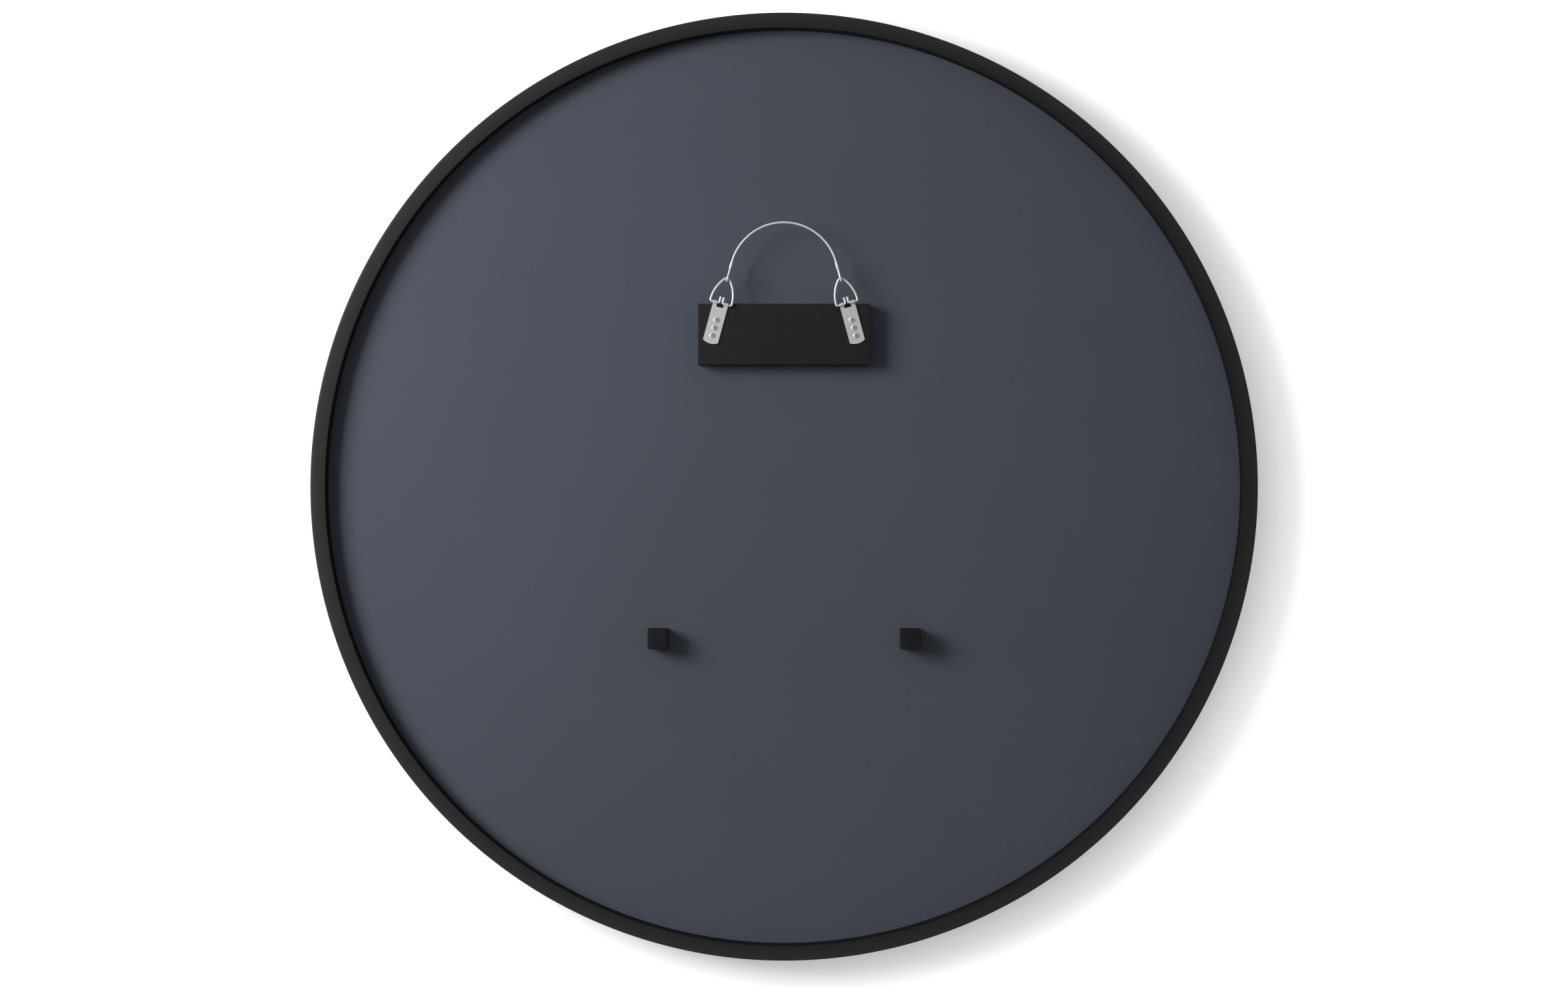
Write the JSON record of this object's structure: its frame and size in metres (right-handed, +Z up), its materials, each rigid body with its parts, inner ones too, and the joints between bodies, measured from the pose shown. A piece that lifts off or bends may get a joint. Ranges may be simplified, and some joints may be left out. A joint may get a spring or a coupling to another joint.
{
  "type": "wall mirror",
  "caption": "Round wall mirror in a black rubber rim, hung by a steel cable between strap hangers on a rear block, with square rubber bumpers behind.",
  "frame": {"origin": "where the wall hook meets the wall: in the plane of the bumpers' outer faces, midway between the hangers and level with the underside of the cable's arch", "axes": "+Z up, +Y from the mirror into the wall, so the mirror looks along -Y; +X is on the left as seen from behind"},
  "size_m": [0.8599, 0.0384, 0.8599],
  "materials": {
    "rim_rubber": "moulded matt",
    "mirror_glass": "silvered",
    "foam_tape": "foam",
    "painted_board": "matt slate paint",
    "black_block": "matt black paint",
    "screw_steel": "zinc plated",
    "zinc_steel": "zinc plated satin",
    "bright_wire": "nickel plated",
    "steel_cable": "stranded",
    "ferrule_aluminium": "crimped",
    "bumper_rubber": "matt"
  },
  "bodies": {
    "mirror": {"rubber_rim": "rim_rubber", "mirror_glass": "mirror_glass", "bonding_tape": "foam_tape", "backing_board": "painted_board", "hanging_block": "black_block", "block_screws": "screw_steel", "strap_left": "zinc_steel", "strap_right": "zinc_steel", "strap_screws_left": "screw_steel", "strap_screws_right": "screw_steel", "bumper_pad_left": "foam_tape", "bumper_pad_right": "foam_tape", "bumper_left": "bumper_rubber", "bumper_right": "bumper_rubber"},
    "cable": {"hanging_cable": "steel_cable", "ferrule_left": "ferrule_aluminium", "ferrule_right": "ferrule_aluminium"},
    "d_ring_left": {"ring_left": "bright_wire"},
    "d_ring_right": {"ring_right": "bright_wire"}
  },
  "joints": [
    {"name": "cable_fold", "type": "hinge", "parent": "mirror", "child": "cable", "pos_m": [0, -0.00305, -0.06807], "axis": [-1, 0, 0], "range_deg": [-12, 60]},
    {"name": "ring_left_fold", "type": "hinge", "parent": "mirror", "child": "d_ring_left", "pos_m": [0.0572, -0.00305, -0.07207], "axis": [-0.965, 0, -0.2622], "range_deg": [-9.6, 48]},
    {"name": "ring_right_fold", "type": "hinge", "parent": "mirror", "child": "d_ring_right", "pos_m": [-0.0572, -0.00305, -0.07207], "axis": [-0.965, 0, 0.2622], "range_deg": [-9.6, 48]}
  ],
  "couplings": [
    {"joint": "ring_left_fold", "follows": "cable_fold", "ratio": 0.8},
    {"joint": "ring_right_fold", "follows": "cable_fold", "ratio": 0.8}
  ]
}
